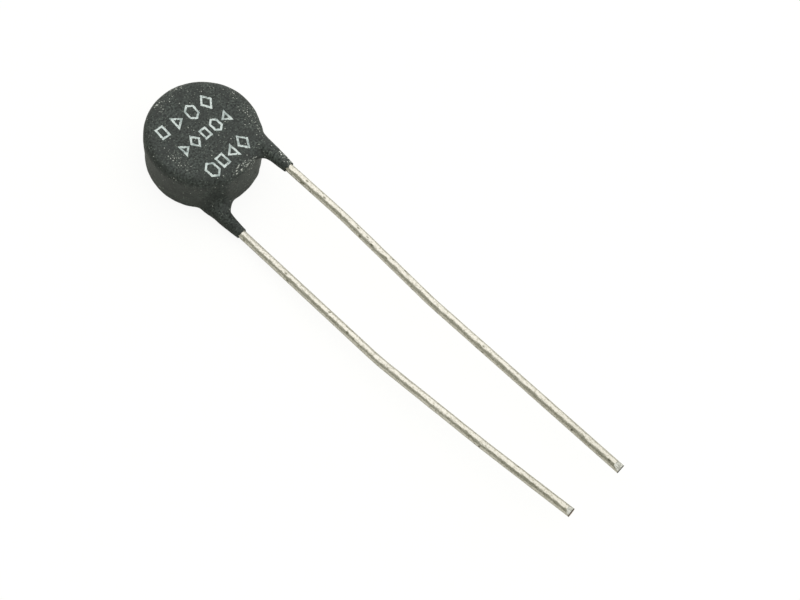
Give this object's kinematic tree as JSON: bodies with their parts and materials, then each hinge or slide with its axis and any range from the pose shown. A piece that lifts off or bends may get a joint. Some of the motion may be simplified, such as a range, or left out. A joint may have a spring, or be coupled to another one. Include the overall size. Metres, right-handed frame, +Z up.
{
  "type": "ntc thermistor",
  "caption": "Dip-coated ceramic disc that limits inrush current, with two round tinned leads leaving its rim through drawn-out necks of coating.",
  "frame": {"origin": "centre of the flat back face, on which the part lies", "axes": "+Z up through the printed front face, -Y along the leads from the body to their tips, +X towards the front lead"},
  "size_m": [0.013, 0.0644, 0.0067],
  "materials": {
    "coating": "satin dip coat with fine pale specks",
    "ceramic": "sintered metal oxide, matte",
    "silver": "fired silver film, matte",
    "solder": "reflowed, smooth",
    "tinned_wire": "tinned, satin with fine draw marks"
  },
  "bodies": {
    "root": {"coating": "coating", "ceramic_disc": "ceramic", "front_electrode": "silver", "back_electrode": "silver", "front_solder_joint": "solder", "back_solder_joint": "solder", "front_lead": "tinned_wire", "back_lead": "tinned_wire"}
  },
  "joints": []
}
